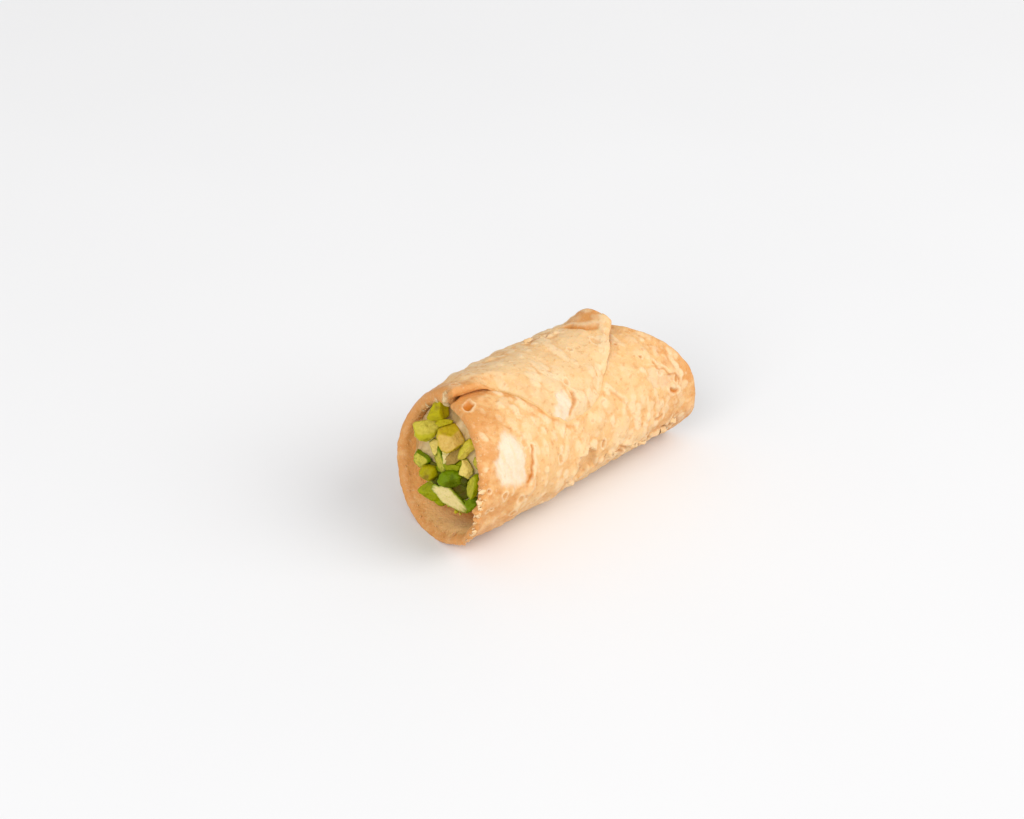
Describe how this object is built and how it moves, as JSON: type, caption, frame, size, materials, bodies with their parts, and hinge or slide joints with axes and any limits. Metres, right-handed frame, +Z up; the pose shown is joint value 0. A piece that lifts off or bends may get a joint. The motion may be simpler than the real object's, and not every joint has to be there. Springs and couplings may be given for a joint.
{
  "type": "cannoli",
  "caption": "Roll of fried dough round a cream filling that fills it from end to end, with chopped pistachio pressed into the cream at each mouth.",
  "frame": {"origin": "middle of the bounding box's underside, on the surface that the roll rests on", "axes": "+X along the roll from its straighter end to its slanted end, +Z up, the flap's corner hangs towards -Y"},
  "size_m": [0.0858, 0.0418, 0.0434],
  "materials": {
    "crust": "satin",
    "cream_and_nuts": "satin"
  },
  "bodies": {
    "root": {"shell": "crust", "filling": "cream_and_nuts"}
  },
  "joints": []
}
